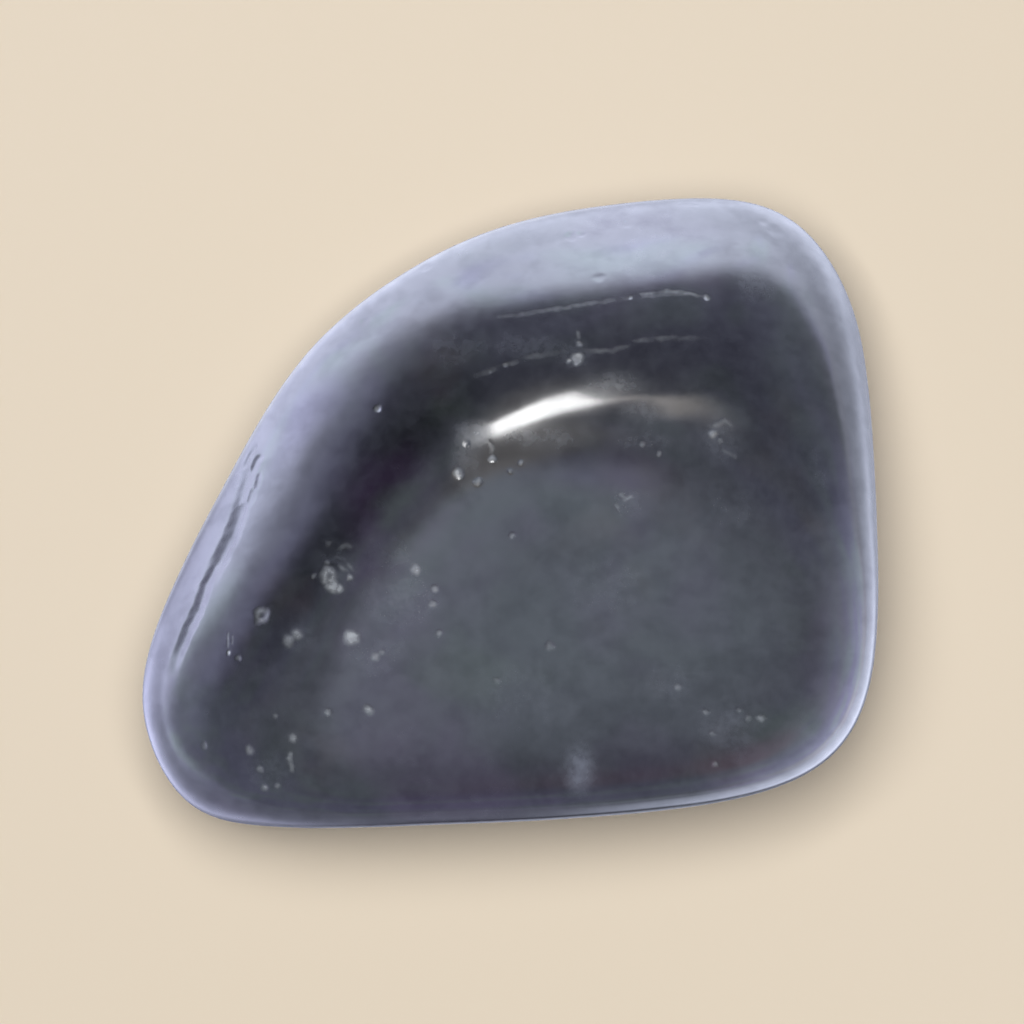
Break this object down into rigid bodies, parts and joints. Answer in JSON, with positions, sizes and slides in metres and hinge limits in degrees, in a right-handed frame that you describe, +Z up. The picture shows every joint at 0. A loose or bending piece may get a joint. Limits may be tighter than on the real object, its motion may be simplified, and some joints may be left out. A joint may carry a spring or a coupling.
{
  "type": "tumbled shungite",
  "caption": "Thumb-sized polished black stone with a broad chamfered rim and a flat underside, used as a loose specimen or a small weight.",
  "frame": {"origin": "centre of the footprint box, on the surface that the stone rests on", "axes": "+X along the stone's length, towards its blunt upright end; +Y towards the chamfered side; +Z up through the broad top face"},
  "size_m": [0.035, 0.03, 0.0165],
  "materials": {
    "stone": "tumble-polished black stone, glossy, with faint grey mottling, small pits and pale flecks"
  },
  "bodies": {
    "root": {"stone": "stone"}
  },
  "joints": []
}
